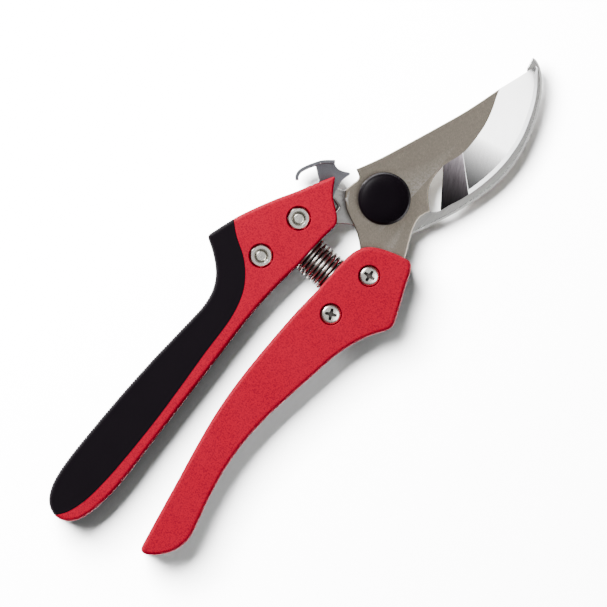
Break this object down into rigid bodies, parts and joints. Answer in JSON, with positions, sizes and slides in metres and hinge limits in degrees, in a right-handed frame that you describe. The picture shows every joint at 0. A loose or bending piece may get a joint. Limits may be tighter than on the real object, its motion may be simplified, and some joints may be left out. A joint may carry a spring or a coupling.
{
  "type": "pruning shears",
  "caption": "Bypass pruning shears lying on their back: curved blade over a hooked counter blade, coated handles, soft grip, return spring and thumb latch.",
  "frame": {"origin": "on the pivot axis, at the flat end of the pivot bolt on the back of the shears, level with the backs of the handles", "axes": "+Z along the pivot axis towards the pivot cap; +Y from the handles towards the tip of the blades; +X towards the handle of the cutting blade"},
  "size_m": [0.0675, 0.2249, 0.0172],
  "materials": {
    "counter_blade": "satin ground steel",
    "cutting_blade": "satin steel with a polished bevel",
    "upper_handle": "textured red coat on an aluminium handle",
    "lower_handle": "textured red coat on an aluminium handle",
    "soft_grip": "matte black, finely ribbed on the palm side",
    "upper_screw_front": "bright plated",
    "upper_screw_rear": "bright plated",
    "upper_nut_front": "bright plated",
    "upper_nut_rear": "bright plated",
    "lower_screw_front": "bright plated",
    "lower_screw_rear": "bright plated",
    "lower_nut_front": "bright plated",
    "lower_nut_rear": "bright plated",
    "pivot_bolt": "turned steel",
    "pivot_bush": "turned bronze",
    "pivot_cap": "gloss black",
    "pivot_washer": "plated",
    "pivot_nut": "plated",
    "thumb_latch": "satin grey sheet",
    "latch_pin": "turned steel",
    "latch_spring": "bright wire",
    "return_spring": "bright spring wire",
    "upper_spring_post": "moulded black",
    "lower_spring_post": "moulded black"
  },
  "bodies": {
    "shears": {"counter_blade": "counter_blade", "upper_handle": "upper_handle", "soft_grip": "soft_grip", "upper_screw_front": "upper_screw_front", "upper_screw_rear": "upper_screw_rear", "upper_nut_front": "upper_nut_front", "upper_nut_rear": "upper_nut_rear", "pivot_bolt": "pivot_bolt", "pivot_cap": "pivot_cap", "pivot_washer": "pivot_washer", "pivot_nut": "pivot_nut", "latch_pin": "latch_pin", "latch_spring": "latch_spring", "return_spring": "return_spring", "upper_spring_post": "upper_spring_post"},
    "cutter": {"cutting_blade": "cutting_blade", "lower_handle": "lower_handle", "lower_screw_front": "lower_screw_front", "lower_screw_rear": "lower_screw_rear", "lower_nut_front": "lower_nut_front", "lower_nut_rear": "lower_nut_rear", "pivot_bush": "pivot_bush", "lower_spring_post": "lower_spring_post"},
    "latch": {"thumb_latch": "thumb_latch"}
  },
  "joints": [
    {"name": "main_pivot", "type": "hinge", "parent": "shears", "child": "cutter", "pos_m": [0, 0, 0], "axis": [0, 0, 1], "range_deg": [0, 35], "deforming": ["return_spring"]},
    {"name": "latch_pivot", "type": "hinge", "parent": "shears", "child": "latch", "pos_m": [-0.0165, -0.0115, 0.01], "axis": [0, 0, 1], "range_deg": [-5.4, 16]}
  ]
}
